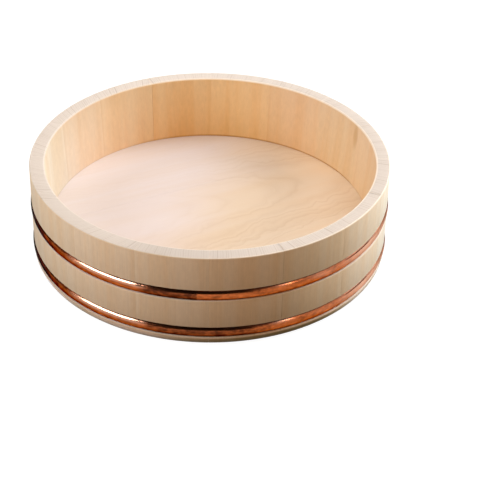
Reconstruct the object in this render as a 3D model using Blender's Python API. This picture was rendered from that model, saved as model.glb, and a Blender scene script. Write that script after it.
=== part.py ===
"""A hangiri: a coopered wooden tub for cooling and dressing sushi rice.

Upright staves with radial joints make the wall. A bamboo pin across each joint keeps neighbours in line, and
two half-round copper hoops in turned seats bind the wall. A bottom of edge-joined boards sits in the croze,
which is the groove round the inside of the staves.

Units are metres and +Z is up. The origin is the middle of the ring that the tub stands on.
"""

import math

import bmesh
import bpy
from mathutils import Matrix, Vector

# Overall sizes
HEIGHT = 0.075
RIM_RADIUS = 0.135
OUTER_TAPER = 0.001

# Wall: its thickness at the rim and where it meets the floor
RIM_WALL = 0.0102
FLOOR_WALL = 0.0140
STAVE_COUNT = 16
RIM_OUTER_ROUND = 0.0012
RIM_INNER_ROUND = 0.0016
BASE_CHAMFER_HEIGHT = 0.0064
BASE_CHAMFER_DEPTH = 0.0052
BASE_INNER_CHAMFER = 0.0015

# Bottom boards and the croze that holds them
FLOOR_HEIGHT = 0.024
BOARD_THICKNESS = 0.012
MIDDLE_BOARD_WIDTH = 0.084
GRAIN_ANGLE = math.radians(26.0)
CROZE_DEPTH = 0.0040
TONGUE_THICKNESS = 0.0075
TONGUE_BEVEL = 0.0100

# Hoops: height of the middle of each, and one section for both
UPPER_HOOP_HEIGHT = 0.0437
LOWER_HOOP_HEIGHT = 0.0118
HOOP_WIDTH = 0.0075
HOOP_PROUD = 0.0009
HOOP_EDGE_SUNK = 0.0012
HOOP_SEAT_DEPTH = 0.0025

# Bamboo pins
STAVE_PIN_RADIUS = 0.0015
STAVE_PIN_LENGTH = 0.0200
STAVE_PIN_HEIGHT = 0.0305
BOARD_PIN_RADIUS = 0.0020
BOARD_PIN_LENGTH = 0.0300
BOARD_PIN_SPACING = 0.1100
PIN_POINT = 0.0006

# Clearances
GLUE_LINE = 0.0003
SEAT_CLEARANCE = 0.0003
PIN_CLEARANCE = 0.0003

# Facets, and what counts as one point, as on a cut, and as a sharp corner
STEPS_PER_STAVE = 6
ROUND_STEPS = 3
HOOP_CROWN_STEPS = 8
PIN_SIDES = 12
WELD_DISTANCE = 1e-5
CUT_DISTANCE = 1e-7
SHARP_ANGLE = math.radians(35.0)

# Materials: colour, roughness, metallic
STAVE_WOOD = ("stave_wood", (0.62, 0.47, 0.33), 0.62, 0.0)
BOARD_WOOD = ("board_wood", (0.76, 0.57, 0.42), 0.60, 0.0)
BAMBOO = ("bamboo", (0.55, 0.42, 0.22), 0.50, 0.0)
COPPER = ("copper", (0.72, 0.29, 0.13), 0.25, 1.0)

FULL_TURN = 2.0 * math.pi
STAVE_PITCH = FULL_TURN / STAVE_COUNT
RING_STEPS = STAVE_COUNT * STEPS_PER_STAVE


def outer_radius(z):
    """Outside of the bare wall at height z."""
    return RIM_RADIUS - OUTER_TAPER * (1.0 - z / HEIGHT)


def inner_radius(z):
    """Inside of the wall at height z: a straight taper from the rim down through the floor's edge."""
    at_rim = RIM_RADIUS - RIM_WALL
    at_floor = outer_radius(FLOOR_HEIGHT) - FLOOR_WALL
    if z < FLOOR_HEIGHT:
        return at_floor
    return at_floor + (at_rim - at_floor) * (z - FLOOR_HEIGHT) / (HEIGHT - FLOOR_HEIGHT)


def hoop_seat_radius(height):
    """Bottom of the turned seat for a hoop whose middle is at this height."""
    return outer_radius(height) - HOOP_SEAT_DEPTH


def round_corner(centre, radii, start, stop, steps=ROUND_STEPS):
    """Points on an elliptical arc in the (r, z) plane, from one angle to another."""
    points = []
    for step in range(steps + 1):
        angle = start + (stop - start) * step / steps
        points.append((centre[0] + radii[0] * math.cos(angle), centre[1] + radii[1] * math.sin(angle)))
    return points


def hoop_seat_profile(height):
    """The four corners of a hoop's seat in the wall, from its top to its bottom."""
    half = HOOP_WIDTH / 2.0 + SEAT_CLEARANCE
    top = height + half
    bottom = height - half
    seat = hoop_seat_radius(height)
    return [(outer_radius(top), top), (seat, top), (seat, bottom), (outer_radius(bottom), bottom)]


def croze_profile():
    """The four corners of the groove for the bottom, from its lower lip to its upper lip."""
    low = FLOOR_HEIGHT - TONGUE_THICKNESS - SEAT_CLEARANCE
    high = FLOOR_HEIGHT + SEAT_CLEARANCE
    depth = inner_radius(FLOOR_HEIGHT) + CROZE_DEPTH
    return [(inner_radius(low), low), (depth, low), (depth, high), (inner_radius(high), high)]


def stave_profile():
    """A stave's upright section, down its outside from the rim and up its inside again."""
    rim_out = outer_radius(HEIGHT) - RIM_OUTER_ROUND
    rim_in = inner_radius(HEIGHT) + RIM_INNER_ROUND
    foot = outer_radius(BASE_CHAMFER_HEIGHT) - BASE_CHAMFER_DEPTH
    heel = inner_radius(0.0) + BASE_INNER_CHAMFER
    profile = round_corner((rim_out, HEIGHT - RIM_OUTER_ROUND), (RIM_OUTER_ROUND, RIM_OUTER_ROUND),
                           math.pi / 2.0, 0.0)
    profile += hoop_seat_profile(UPPER_HOOP_HEIGHT)
    profile += hoop_seat_profile(LOWER_HOOP_HEIGHT)
    profile += round_corner((foot, BASE_CHAMFER_HEIGHT), (BASE_CHAMFER_DEPTH, BASE_CHAMFER_HEIGHT),
                            0.0, -math.pi / 2.0)
    profile += [(heel, 0.0), (inner_radius(0.0), BASE_INNER_CHAMFER)]
    profile += croze_profile()
    profile += round_corner((rim_in, HEIGHT - RIM_INNER_ROUND), (RIM_INNER_ROUND, RIM_INNER_ROUND),
                            math.pi, math.pi / 2.0)
    return profile


def hoop_profile(height):
    """A hoop's section: flat where it lies in its seat, half round outside, with its edges below the wood."""
    half = HOOP_WIDTH / 2.0
    back = hoop_seat_radius(height) + SEAT_CLEARANCE
    edge = outer_radius(height) - HOOP_EDGE_SUNK
    crown = HOOP_EDGE_SUNK + HOOP_PROUD
    dome = round_corner((edge, height), (crown, half), math.pi / 2.0, -math.pi / 2.0, HOOP_CROWN_STEPS)
    return [(back, height + half)] + dome + [(back, height - half)]


def board_profile():
    """Half section of the bottom: top face, tongue in the croze, its shoulder and the bevel down from it."""
    edge = inner_radius(FLOOR_HEIGHT) + CROZE_DEPTH - SEAT_CLEARANCE
    shoulder = inner_radius(0.0) - SEAT_CLEARANCE
    tongue = FLOOR_HEIGHT - TONGUE_THICKNESS
    underside = FLOOR_HEIGHT - BOARD_THICKNESS
    return [(0.0, FLOOR_HEIGHT), (edge, FLOOR_HEIGHT), (edge, tongue), (shoulder, tongue),
            (shoulder - TONGUE_BEVEL, underside), (0.0, underside)]


def wire(bm, profile, closed):
    """Add a profile in the XZ plane to a mesh as connected edges."""
    verts = [bm.verts.new((r, 0.0, z)) for r, z in profile]
    edges = [bm.edges.new(pair) for pair in zip(verts, verts[1:])]
    if closed:
        edges.append(bm.edges.new((verts[-1], verts[0])))
    return verts + edges


def fill_open_ends(bm):
    """Close every open edge loop with one face and turn all faces outward."""
    open_edges = [edge for edge in bm.edges if edge.is_boundary]
    if open_edges:
        bmesh.ops.holes_fill(bm, edges=open_edges, sides=0)
    bmesh.ops.recalc_face_normals(bm, faces=bm.faces)


def turned(profile, sweep, steps, start=0.0, closed=True):
    """Turn a profile about the tub's axis."""
    bm = bmesh.new()
    geometry = wire(bm, profile, closed)
    bmesh.ops.rotate(bm, verts=bm.verts, cent=(0.0, 0.0, 0.0), matrix=Matrix.Rotation(start, 3, "Z"))
    bmesh.ops.spin(bm, geom=geometry, cent=(0.0, 0.0, 0.0), axis=(0.0, 0.0, 1.0), angle=sweep, steps=steps)
    bmesh.ops.remove_doubles(bm, verts=bm.verts, dist=WELD_DISTANCE)
    fill_open_ends(bm)
    return bm


def rod(radius, length):
    """A round rod along X, centred on the origin."""
    bm = bmesh.new()
    bmesh.ops.create_cone(bm, cap_ends=True, segments=PIN_SIDES, radius1=radius, radius2=radius, depth=length)
    bmesh.ops.rotate(bm, verts=bm.verts, cent=(0.0, 0.0, 0.0), matrix=Matrix.Rotation(math.pi / 2.0, 3, "Y"))
    return bm


def pin(radius, length):
    """A rod whose two ends are shaved to a blunt point, so that it starts in its hole."""
    bm = rod(radius, length)
    end_edges = [edge for edge in bm.edges if abs(edge.verts[0].co.x - edge.verts[1].co.x) < radius]
    bmesh.ops.bevel(bm, geom=end_edges, offset=PIN_POINT, segments=1, affect="EDGES", profile=0.5)
    return bm


def to_mesh(bm, name):
    """Store a mesh, smooth on its round faces and sharp at its corners."""
    mesh = bpy.data.meshes.new(name)
    bm.to_mesh(mesh)
    bm.free()
    mesh.shade_smooth()
    mesh.set_sharp_from_angle(angle=SHARP_ANGLE)
    return mesh


def material(spec):
    """A Principled BSDF from a name, colour, roughness and metallic value."""
    name, colour, roughness, metallic = spec
    result = bpy.data.materials.new(name)
    result.use_nodes = True
    shader = result.node_tree.nodes["Principled BSDF"]
    shader.inputs["Base Color"].default_value = (*colour, 1.0)
    shader.inputs["Roughness"].default_value = roughness
    shader.inputs["Metallic"].default_value = metallic
    return result


def place(name, mesh, parent, matrix=Matrix()):
    """Put a mesh in the scene as a named object."""
    result = bpy.data.objects.new(name, mesh)
    bpy.context.collection.objects.link(result)
    result.parent = parent
    result.matrix_local = matrix
    return result


def drill(target, cutter):
    """Cut the holes of a cutter out of an object."""
    modifier = target.modifiers.new("pin_holes", "BOOLEAN")
    modifier.operation = "DIFFERENCE"
    modifier.solver = "EXACT"
    modifier.object = cutter


def hole_cutter(name, radius, length, places, parent):
    """One hidden cutter with a hole for every pin, each a clearance larger than its pin."""
    bm = bmesh.new()
    for matrix in places:
        hole = rod(radius + PIN_CLEARANCE, length + 2.0 * PIN_CLEARANCE)
        hole.transform(matrix)
        mesh = bpy.data.meshes.new(name)
        hole.to_mesh(mesh)
        hole.free()
        bm.from_mesh(mesh)
        bpy.data.meshes.remove(mesh)
    cutter = place(name, to_mesh(bm, name), parent)
    cutter.hide_render = True
    cutter.display_type = "WIRE"
    return cutter


def stave_pin_places():
    """Where each stave pin lies: across a joint, in the middle of the wall."""
    radius = (outer_radius(STAVE_PIN_HEIGHT) + inner_radius(STAVE_PIN_HEIGHT)) / 2.0
    across = Matrix.Translation((radius, 0.0, STAVE_PIN_HEIGHT)) @ Matrix.Rotation(math.pi / 2.0, 4, "Z")
    return [Matrix.Rotation(joint * STAVE_PITCH, 4, "Z") @ across for joint in range(STAVE_COUNT)]


def board_pin_places():
    """Where each board pin lies: across a board joint, in the middle of the boards' thickness."""
    along_grain = Matrix.Rotation(GRAIN_ANGLE, 4, "Z")
    across = Matrix.Rotation(math.pi / 2.0, 4, "Z")
    height = FLOOR_HEIGHT - BOARD_THICKNESS / 2.0
    places = []
    for joint in (-0.5, 0.5):
        for end in (-0.5, 0.5):
            spot = Vector((end * BOARD_PIN_SPACING, joint * MIDDLE_BOARD_WIDTH, height))
            places.append(along_grain @ Matrix.Translation(spot) @ across)
    return places


def make_staves(parent):
    """The wall: equal staves round the axis, drilled for the pins between them."""
    gap = GLUE_LINE / inner_radius(FLOOR_HEIGHT)
    bm = turned(stave_profile(), STAVE_PITCH - gap, STEPS_PER_STAVE, start=gap / 2.0)
    mesh = to_mesh(bm, "stave")
    mesh.materials.append(material(STAVE_WOOD))
    holes = hole_cutter("stave_pin_holes", STAVE_PIN_RADIUS, STAVE_PIN_LENGTH, stave_pin_places(), parent)
    for number in range(STAVE_COUNT):
        stave = place(f"stave_{number + 1:02d}", mesh, parent, Matrix.Rotation(number * STAVE_PITCH, 4, "Z"))
        drill(stave, holes)


def make_hoops(parent):
    """The two copper hoops."""
    copper = material(COPPER)
    for name, height in (("upper_hoop", UPPER_HOOP_HEIGHT), ("lower_hoop", LOWER_HOOP_HEIGHT)):
        mesh = to_mesh(turned(hoop_profile(height), FULL_TURN, RING_STEPS), name)
        mesh.materials.append(copper)
        place(name, mesh, parent)


def board_slice(low, high):
    """The part of the bottom between two cuts along the grain; None leaves that side round."""
    bm = turned(board_profile(), FULL_TURN, RING_STEPS, closed=False)
    across = Matrix.Rotation(GRAIN_ANGLE, 3, "Z") @ Vector((0.0, 1.0, 0.0))
    for cut, side in ((low, -1.0), (high, 1.0)):
        if cut is None:
            continue
        everything = list(bm.verts) + list(bm.edges) + list(bm.faces)
        bmesh.ops.bisect_plane(bm, geom=everything, dist=CUT_DISTANCE, clear_outer=True,
                               plane_co=across * cut, plane_no=across * side)
    fill_open_ends(bm)
    return bm


def make_bottom(parent):
    """The bottom: three boards edge to edge along the grain, pinned across their joints."""
    wood = material(BOARD_WOOD)
    near = MIDDLE_BOARD_WIDTH / 2.0 - GLUE_LINE / 2.0
    far = MIDDLE_BOARD_WIDTH / 2.0 + GLUE_LINE / 2.0
    holes = hole_cutter("board_pin_holes", BOARD_PIN_RADIUS, BOARD_PIN_LENGTH, board_pin_places(), parent)
    slices = {"front_bottom_board": (None, -far), "middle_bottom_board": (-near, near),
              "back_bottom_board": (far, None)}
    for name, (low, high) in slices.items():
        mesh = to_mesh(board_slice(low, high), name)
        mesh.materials.append(wood)
        drill(place(name, mesh, parent), holes)


def make_pins(parent):
    """The bamboo pins between the staves and between the boards."""
    bamboo = material(BAMBOO)
    kinds = (("stave_pin", STAVE_PIN_RADIUS, STAVE_PIN_LENGTH, stave_pin_places()),
             ("board_pin", BOARD_PIN_RADIUS, BOARD_PIN_LENGTH, board_pin_places()))
    for name, radius, length, places in kinds:
        mesh = to_mesh(pin(radius, length), name)
        mesh.materials.append(bamboo)
        for number, matrix in enumerate(places):
            place(f"{name}_{number + 1:02d}", mesh, parent, matrix)


def main():
    """Build the tub under one empty at its origin."""
    for old in list(bpy.data.objects):
        bpy.data.objects.remove(old, do_unlink=True)
    tub = bpy.data.objects.new("hangiri", None)
    bpy.context.collection.objects.link(tub)
    make_staves(tub)
    make_hoops(tub)
    make_bottom(tub)
    make_pins(tub)


main()
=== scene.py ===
"""Looks of a hangiri, a coopered wooden tub for sushi rice, built round its packed construction.

The staves, the bottom boards and the copper hoops are modelled afresh here, with soft arrises, turned
grooves and finishes made of shader nodes. The bamboo pins inside the joints keep their own meshes and get
a finish. Lengths are in metres, +Z is up and the tub's axis is the Z axis. Angles round the tub start at
+X, so the front of the tub, which faces the camera, is at 270 degrees.
"""
import logging
import math
from dataclasses import dataclass, field
from enum import Enum
from typing import ClassVar, Optional, Sequence, Union

import bmesh
import bpy
import numpy as np
from mathutils import Matrix, Vector


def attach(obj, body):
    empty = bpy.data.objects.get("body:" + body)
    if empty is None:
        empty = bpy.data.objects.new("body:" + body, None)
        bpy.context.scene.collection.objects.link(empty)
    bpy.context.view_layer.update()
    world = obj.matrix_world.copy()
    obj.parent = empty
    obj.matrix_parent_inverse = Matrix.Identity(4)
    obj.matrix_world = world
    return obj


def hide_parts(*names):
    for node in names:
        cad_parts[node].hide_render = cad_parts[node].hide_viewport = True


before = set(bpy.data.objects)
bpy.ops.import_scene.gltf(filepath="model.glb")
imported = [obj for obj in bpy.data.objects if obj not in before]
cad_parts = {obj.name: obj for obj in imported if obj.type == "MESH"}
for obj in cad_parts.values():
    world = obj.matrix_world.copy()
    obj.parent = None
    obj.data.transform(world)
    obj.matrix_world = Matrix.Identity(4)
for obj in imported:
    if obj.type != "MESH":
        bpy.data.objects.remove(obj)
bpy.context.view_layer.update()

BODY = "root"
MM = 0.001
TURN = 2.0 * math.pi
LOG = logging.getLogger("hangiri")

Node = bpy.types.Node
Socket = bpy.types.NodeSocket
Material = bpy.types.Material
Mesh = bpy.types.Mesh
Piece = bpy.types.Object
Draw = np.random.Generator
Pair = tuple[float, float]
Triple = tuple[float, float, float]
Colour = tuple[float, float, float]
Curve = Sequence[Pair]
Row = Sequence[float]
Value = Union[float, Row, Socket]
Inputs = dict[Union[str, int], Value]

WHITE: Colour = (1.0, 1.0, 1.0)
UNIT: Pair = (0.0, 1.0)
FALL: Pair = (1.0, 0.0)
# Parts of a noise's range that a span stretches.
NOISE_CORE: Pair = (0.3, 0.7)
NOISE_MOST: Pair = (0.25, 0.75)
NOISE_WIDE: Pair = (0.2, 0.8)
# Sockets of a Mix node that mixes colours.
MIX_COLOURS = slice(6, 8)
MIX_RESULT = 2
# Keeps a division from meeting zero.
TINY = 1e-9
QUAD_CORNERS = 4


class Place(Enum):
    """Where a stave surface lies, stored on its points so that the finish can tell them apart."""

    INSIDE = 0.0
    OUTSIDE = 1.0


class StaveTone(Enum):
    """Tints of the staves: partly the different planks that they come from, partly painted light and shade
    round the tub.
    """

    PLAIN = (1.0, 1.0, 1.0)
    BEIGE = (1.0, 0.96, 1.0)
    FLAX = (1.02, 1.0, 1.03)
    OAT = (0.97, 0.93, 0.91)
    TAN = (1.07, 0.97, 0.96)
    HONEY = (1.17, 1.06, 0.91)
    STRAW = (1.04, 0.99, 0.95)
    PALE = (0.93, 0.92, 0.98)
    BONE = (0.87, 0.98, 1.18)
    CREAM = (0.98, 1.08, 1.20)
    WARM = (1.03, 0.955, 0.915)
    BROWN = (0.91, 0.87, 0.80)
    DRAB = (0.82, 0.80, 0.79)


class Hoop(Enum):
    """The two hoops, by node name."""

    UPPER = "upper_hoop"
    LOWER = "lower_hoop"


class Board(Enum):
    """The three bottom boards, by node name."""

    FRONT = "front_bottom_board"
    MIDDLE = "middle_bottom_board"
    BACK = "back_bottom_board"


def tones(names: str) -> tuple[StaveTone, ...]:
    """Stave tones by name, in order round the tub from +X."""
    return tuple(StaveTone[name] for name in names.split())


def round_tub(curve: Curve, degrees: np.ndarray) -> np.ndarray:
    """Read a curve of degrees and levels that closes round the tub."""
    return np.interp(degrees, *zip(*curve), period=360.0)


class NodePen:
    """Adds nodes to one node tree and wires them, so that a finish reads as a list of steps."""

    def __init__(self, tree: bpy.types.NodeTree) -> None:
        """Start from an empty tree."""
        self.tree = tree
        tree.nodes.clear()

    def feed(self, socket: Socket, value: Value) -> None:
        """Link a socket to another socket, or set its value.

        Args:
            socket: the input to fill.
            value: an output socket, or a number, vector or colour.
        """
        if isinstance(value, Socket):
            self.tree.links.new(value, socket)
        elif isinstance(value, tuple) and len(value) == 3 and socket.type == "RGBA":
            socket.default_value = (*value, 1.0)
        else:
            socket.default_value = value

    def add(self, kind: str, inputs: Inputs, **settings: object) -> Node:
        """Add a node.

        Args:
            kind: the node's type name, without the ShaderNode prefix.
            inputs: values or sockets by input name or number.
            **settings: properties of the node itself.
        Returns:
            The new node.
        """
        node = self.tree.nodes.new("ShaderNode" + kind)
        for name, setting in settings.items():
            setattr(node, name, setting)
        for name, value in inputs.items():
            self.feed(node.inputs[name], value)
        return node

    def finish(self, kind: str, inputs: Inputs, output: str = "OutputMaterial") -> None:
        """Add the last shader and wire it to the output node."""
        shader = self.add(kind, inputs)
        self.tree.links.new(shader.outputs[0], self.add(output, {}).inputs["Surface"])

    def math(self, operation: str, first: Value, second: Value = 0.0, clamp: bool = False) -> Socket:
        """One step of a Math node, kept from 0 to 1 where it is clamped."""
        return self.add("Math", {0: first, 1: second}, operation=operation, use_clamp=clamp).outputs[0]

    def plus(self, first: Value, second: Value) -> Socket:
        """Add two numbers."""
        return self.math("ADD", first, second)

    def minus(self, first: Value, second: Value) -> Socket:
        """Take the second number from the first."""
        return self.math("SUBTRACT", first, second)

    def times(self, first: Value, second: Value) -> Socket:
        """Multiply two numbers."""
        return self.math("MULTIPLY", first, second)

    def swing(self, noise: Socket, width: float) -> Socket:
        """Centre a noise on zero and give it a width."""
        return self.times(self.minus(noise, 0.5), width)

    def span(self, value: Value, source: Pair, result: Row = UNIT, smooth: bool = False) -> Socket:
        """Map one range onto another, clamped.

        Args:
            value: what is mapped.
            source: the range that it comes from.
            result: the range that it goes to.
            smooth: ease in and out.
        Returns:
            The mapped value.
        """
        ends = dict(zip(("From Min", "From Max", "To Min", "To Max"), (*source, *result)))
        kind = "SMOOTHSTEP" if smooth else "LINEAR"
        return self.add("MapRange", {"Value": value, **ends}, interpolation_type=kind).outputs[0]

    def stretch(self, vector: Socket, scale: Row, shift: Row = (0.0,) * 3) -> Socket:
        """Scale a vector by axis, then shift it."""
        inputs = {0: vector, 1: tuple(scale), 2: tuple(shift)}
        return self.add("VectorMath", inputs, operation="MULTIPLY_ADD").outputs[0]

    def length(self, vector: Socket) -> Socket:
        """Length of a vector."""
        return self.add("VectorMath", {0: vector}, operation="LENGTH").outputs["Value"]

    def axes(self, vector: Socket) -> Sequence[Socket]:
        """The three parts of a vector."""
        return self.add("SeparateXYZ", {0: vector}).outputs

    def noise(self, vector: Socket, scale: Row, detail: float = 2.0, roughness: float = 0.5) -> Socket:
        """Smooth noise, about 0 to 1, with scale features in one unit of the vector."""
        inputs = {"Vector": self.stretch(vector, scale), "Scale": 1.0, "Detail": detail,
                  "Roughness": roughness}
        return self.add("TexNoise", inputs).outputs["Fac"]

    def ramp(self, value: Socket, stops: Curve) -> Socket:
        """A grey curve through stops.

        Args:
            value: position along the ramp, from 0 to 1.
            stops: pairs of position and grey level.
        Returns:
            The grey level.
        """
        node = self.add("ValToRGB", {0: value})
        elements = node.color_ramp.elements
        while len(elements) < len(stops):
            elements.new(0.5)
        for element, (position, level) in zip(elements, stops):
            element.position = position
            element.color = (level, level, level, 1.0)
        return node.outputs[0]

    def mix(self, factor: Value, first: Value, second: Value, blend: str = "MIX") -> Socket:
        """Mix two colours.

        Args:
            factor: share of the second colour.
            first: the first colour.
            second: the second colour.
            blend: the Mix node's blend type.
        Returns:
            The mixed colour.
        """
        node = self.add("Mix", {0: factor}, data_type="RGBA", blend_type=blend)
        for socket, value in zip(node.inputs[MIX_COLOURS], (first, second)):
            self.feed(socket, value)
        return node.outputs[MIX_RESULT]

    def tinted(self, colour: Socket, tint: Value) -> Socket:
        """Multiply a colour by another."""
        return self.mix(1.0, colour, tint, "MULTIPLY")

    def shaded(self, colour: Socket, level: Socket) -> Socket:
        """Multiply a colour by a grey level."""
        return self.tinted(colour, self.add("CombineColor", {0: level, 1: level, 2: level}).outputs[0])

    def bump(self, height: Socket, strength: float, depth: float) -> Socket:
        """Normal of a fine relief."""
        return self.add("Bump", {"Strength": strength, "Distance": depth, "Height": height}).outputs[0]

    def attribute(self, name: str, output: str = "Fac") -> Socket:
        """Read a mesh attribute."""
        return self.add("Attribute", {}, attribute_name=name).outputs[output]

    def point(self) -> Socket:
        """Where a point lies in the tub's frame."""
        return self.add("TexCoord", {}).outputs["Object"]

    def seen_directly(self) -> Socket:
        """Tell what the camera sees, straight, in a mirror or through glass, from the light that lamps shed.

        Returns:
            1 for what is seen and 0 for light.
        """
        path = self.add("LightPath", {}).outputs
        mirrored = self.plus(path["Is Camera Ray"], path["Is Glossy Ray"])
        return self.math("ADD", mirrored, path["Is Transmission Ray"], clamp=True)


class GrainPen(NodePen):
    """A pen for pieces whose points carry a grain attribute, read here in millimetres."""

    def __init__(self, tree: bpy.types.NodeTree) -> None:
        """Start from the grain alone."""
        super().__init__(tree)
        self.grain = self.stretch(self.attribute("grain", "Vector"), (1.0 / MM,) * 3)

    def grained(self, scale: Row, detail: float = 2.0, roughness: float = 0.5) -> Socket:
        """Noise along the grain, with features to the millimetre."""
        return self.noise(self.grain, scale, detail, roughness)


def new_pen(name: str, kind: type[NodePen] = NodePen) -> tuple[Material, NodePen]:
    """Make an empty material.

    Args:
        name: the material's name.
        kind: which kind of pen.
    Returns:
        The material and a pen on its nodes.
    """
    material = bpy.data.materials.new(name)
    material.use_nodes = True
    return material, kind(material.node_tree)


@dataclass(frozen=True)
class PlanedWood:
    """Planed, unvarnished softwood. The points' grain attribute runs across, through and along the log."""

    FACE: ClassVar[Curve] = ((0.0, 0.35), (0.18, 0.0), (0.5, 0.12), (0.80, 0.65), (0.92, 1.0), (1.0, 0.35))
    CUT: ClassVar[Curve] = ((0.0, 0.15), (0.10, 0.0), (0.70, 0.06), (0.88, 1.0), (1.0, 0.15))
    SOFT: ClassVar[Curve] = ((0.0, 0.55), (0.25, 0.12), (0.50, 0.0), (0.74, 0.5), (0.87, 1.0), (1.0, 0.55))

    name: str
    early: Colour
    late: Colour
    honey: Colour
    fibre: float
    roughness: float = 0.62
    gloss_spread: Pair = (-0.06, 0.08)
    specular: float = 0.12
    bump: float = 0.12
    relief: float = 0.15 * MM
    silk_height: float = 0.6
    late_height: float = -0.5
    fibre_scale: Triple = (2.2, 2.2, 0.04)
    silk_scale: Triple = (7.0, 7.0, 0.35)
    streak_shape: Triple = (1.0, 0.2, 0.04)
    streak_edge: Pair = (0.36, 0.66)
    year_scale: float = 0.45
    year_drift: float = 2.2
    weakest_year: float = 0.2

    def lines(self, pen: GrainPen, count: Socket, profile: Curve, contrast: float = 1.0) -> Socket:
        """How far each point is into the dark latewood of its growth ring.

        Args:
            pen: the material's nodes.
            count: rings counted from the pith, with fractions.
            profile: stops of darkness through one year.
            contrast: how much the years differ; above 1, few are strong.
        Returns:
            0 in the pale earlywood, up to 1 in the latewood.
        """
        row = pen.add("CombineXYZ", {0: count}).outputs[0]
        uneven = pen.noise(row, (self.year_scale,) * 3, detail=1.0)
        count = pen.plus(count, pen.times(uneven, self.year_drift))
        year = pen.math("FLOOR", count)
        dark = pen.ramp(pen.math("FRACT", count), profile)
        strength = pen.add("TexWhiteNoise", {"W": year}, noise_dimensions="1D").outputs["Value"]
        strength = pen.span(pen.math("POWER", strength, contrast), UNIT, (self.weakest_year, 1.0))
        return pen.times(dark, strength)

    def streaks(self, pen: GrainPen, colour: Socket, width: float, share: float) -> Socket:
        """Lay broad, soft honey-coloured streaks along the fibres.

        Args:
            pen: the material's nodes.
            colour: the wood's colour so far.
            width: how wide the streaks are, in millimetres.
            share: strength of the streaks.
        Returns:
            The streaked colour.
        """
        band = pen.grained([each / width for each in self.streak_shape], detail=3.0)
        band = pen.span(band, self.streak_edge, (0.0, share), smooth=True)
        return pen.mix(band, colour, pen.tinted(colour, self.honey))

    def surface(self, pen: GrainPen, colour: Socket, late: Socket) -> None:
        """Add the fibres and the fine relief, and close the material.

        Args:
            pen: the material's nodes.
            colour: the wood's colour.
            late: share of latewood.
        """
        fibre = pen.grained(self.fibre_scale, detail=4.0, roughness=0.6)
        silk = pen.grained(self.silk_scale)
        colour = pen.shaded(colour, pen.span(fibre, NOISE_CORE, (1.0 - self.fibre, 1.0 + self.fibre)))
        gloss = pen.span(fibre, NOISE_WIDE, [self.roughness + each for each in self.gloss_spread])
        height = pen.plus(pen.times(silk, self.silk_height), pen.times(late, self.late_height))
        pen.finish("BsdfPrincipled", {
            "Base Color": colour, "Roughness": gloss, "Specular IOR Level": self.specular,
            "Normal": pen.bump(height, self.bump, self.relief)})


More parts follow.
